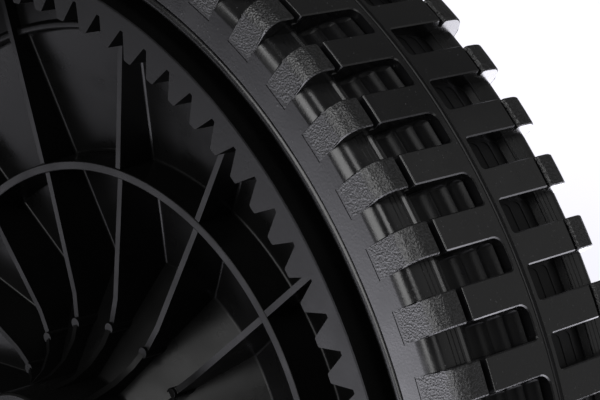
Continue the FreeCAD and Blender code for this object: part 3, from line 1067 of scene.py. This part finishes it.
def sort_wheel_faces(piece):
    """Give the rounded lip of the rim the smoother plastic of the tread."""
    piece.data.materials.append(tread_plastic)
    for face in piece.data.polygons:
        centre = face.center / MM
        if math.hypot(centre.x, centre.z) > LIP_INSIDE and abs(centre.y) > RIM_EDGE:
            face.material_index = 1


print("grain starts", CAP_INSIDE, "mm from the middle of the band")

# %% [markdown]
# ## Joining the pieces to the frame
# Each modelled piece takes the place of its solid and turns with the wheel. Curved walls are shaded
# smooth and real corners stay sharp. Weighted normals keep the large flat faces flat, which long
# thin faces beside them would otherwise bend.

# %% Ride on the frame
SMOOTH_ANGLE = math.radians(24)
mouldings = (
    (wheel, "wheel_moulding", "wheel_plastic", wheel_plastic, sort_wheel_faces),
    (tread, "tyre", "tyre_plastic", tread_plastic, sort_tread_faces),
)
for piece, node, slot, plastic, sort_faces in mouldings:
    pick(piece)
    bpy.ops.object.shade_smooth_by_angle(angle=SMOOTH_ANGLE)
    flat_first = piece.modifiers.new("flat_first", "WEIGHTED_NORMAL")
    flat_first.keep_sharp = True
    bpy.ops.object.modifier_apply(modifier=flat_first.name)
    dress(piece, plastic)
    sort_faces(piece)
    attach(piece, "wheel")
    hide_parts(node)
    report(piece)

# %% [markdown]
# ## The floor
# The wheel stands on a plain white floor. Black plastic shows mostly what it reflects, so in
# reflections the floor glows with a painted pool of light round its foot, which draws the sidewall,
# and a painted shadow to its left, which leaves the web dark. The camera sees the floor as white
# paint with some glow that grows brighter away from the wheel, which keeps the wheel's shadow on it.

# %% Floor
FLOOR_SIZE = 8.0
FLOOR_GAP = 0.1 * MM
POOL_LIGHT = 1.2
POOL_LIMIT = 7.0
# Centre of the painted shadow that the floor shows only in reflections.
PAINTED_SHADOW_PLACE = (-0.36, -0.03, 0.0)
CAMERA_SHARE = 0.65
MIRROR_SHARE = 0.92


def floor_glow(material, path):
    """How bright the floor glows: white to the camera and brighter away from the wheel, and in
    reflections a painted pool of light with a painted shadow at its left.
    """
    place = add_node(material, "ShaderNodeTexCoord").outputs["Object"]
    away = add_node(material, "ShaderNodeVectorMath", {"operation": "LENGTH"}, {0: place})
    # Painted pool of light: the glow falls off with distance from under the wheel.
    square = add_node(material, "ShaderNodeMath", {"operation": "POWER", 1: 2.0},
                      {0: away.outputs["Value"]})
    falloff = add_node(material, "ShaderNodeMath", {"operation": "DIVIDE", 0: POOL_LIGHT},
                       {1: square.outputs[0]})
    pool = add_node(material, "ShaderNodeMath", {"operation": "MINIMUM", 1: POOL_LIMIT},
                    {0: falloff.outputs[0]})
    beside = add_node(material, "ShaderNodeVectorMath", {"operation": "DISTANCE", 1: PAINTED_SHADOW_PLACE},
                      {0: place})
    # Painted shadow: the pool of light is dimmed in a patch left of the wheel.
    shade = add_node(material, "ShaderNodeMapRange",
                     {"interpolation_type": "SMOOTHSTEP", "From Min": 0.22, "From Max": 0.37,
                      "To Min": 0.03, "To Max": 1.0}, {"Value": beside.outputs["Value"]})
    lit = add_node(material, "ShaderNodeMath", {"operation": "MULTIPLY"},
                   {0: pool.outputs[0], 1: shade.outputs[0]})
    pale = add_node(material, "ShaderNodeMapRange",
                    {"From Min": 0.35, "From Max": 0.9, "To Min": 1.2, "To Max": 1.6},
                    {"Value": away.outputs["Value"]})
    strength = add_node(material, "ShaderNodeMix", {"data_type": "FLOAT"},
                        {0: path.outputs["Is Glossy Ray"], 2: pale.outputs[0], 3: lit.outputs[0]})
    return strength.outputs[0]


def white_floor():
    """White paint that glows for the camera and in mirrors, and stays plain paint for the light."""
    material = new_material("white_floor_paint")
    path = add_node(material, "ShaderNodeLightPath")
    mirrored = add_node(material, "ShaderNodeMath", {"operation": "MAXIMUM"},
                        {0: path.outputs["Is Glossy Ray"], 1: path.outputs["Is Transmission Ray"]})
    seen = add_node(material, "ShaderNodeMath", {"operation": "MULTIPLY", 1: CAMERA_SHARE},
                    {0: path.outputs["Is Camera Ray"]})
    share = add_node(material, "ShaderNodeMath", {"operation": "MULTIPLY_ADD", 1: MIRROR_SHARE},
                     {0: mirrored.outputs[0], 2: seen.outputs[0]})
    paint = add_node(material, "ShaderNodeBsdfDiffuse", {"Color": linear("#e9e9e9")})
    glow = add_node(material, "ShaderNodeEmission", {"Color": linear("#f6f5ff")},
                    {"Strength": floor_glow(material, path)})
    mix = add_node(material, "ShaderNodeMixShader", links={
        0: share.outputs[0], 1: paint.outputs[0], 2: glow.outputs[0]})
    finish_material(material, mix.outputs[0])
    return material


bpy.ops.object.select_all(action="DESELECT")
bpy.ops.mesh.primitive_plane_add(size=FLOOR_SIZE, location=(0, 0, cad_box[0].z - FLOOR_GAP))
floor = bpy.context.object
floor.name = "floor"
dress(floor, white_floor())
print("floor at", round(floor.location.z / MM, 2), "mm")

# %% [markdown]
# ## The lights
# Soft boxes stand where the bright bands on the lugs and the web show that lamps stood: one in front,
# a low card at its right, and a strip at the right that is brighter at its top. A dim backdrop behind
# the wheel gives the tops of the blocks their grey. The lamps are described by how bright their cloth
# looks, because that is what the plastic reflects.

# %% Lights
WORLD_LIGHT = 0.12


def softbox(name, place, size, glow):
    """An area light that faces the wheel; its glow is how bright its cloth looks, white being 1."""
    bpy.ops.object.select_all(action="DESELECT")
    bpy.ops.object.light_add(type="AREA", location=place)
    light = bpy.context.object
    light.name = name
    light.data.shape = "RECTANGLE"
    light.data.size = size[0]
    light.data.size_y = size[1]
    light.data.energy = glow * math.pi * size[0] * size[1]
    light.rotation_euler = (-Vector(place)).to_track_quat("-Z", "Y").to_euler()
    print(name, round(light.data.energy, 2), "W")


softbox("front_softbox", (0.05, -1.39, 0.56), (1.0, 1.1), 4.6)
softbox("side_card", (0.72, -1.26, 0.06), (0.5, 0.38), 2.2)
softbox("high_strip", (0.82, -0.23, 1.32), (0.5, 1.0), 4.2)
softbox("low_strip", (1.39, -0.38, 0.59), (0.5, 0.95), 1.0)
softbox("backdrop", (1.9, 1.7, 1.0), (2.6, 2.6), 0.24)
world = bpy.data.worlds.new("studio")
bpy.context.scene.world = world
world.use_nodes = True
background = world.node_tree.nodes["Background"]
background.inputs["Color"].default_value = linear("#ffffff")
background.inputs["Strength"].default_value = WORLD_LIGHT
bpy.context.scene.view_settings.view_transform = "Standard"
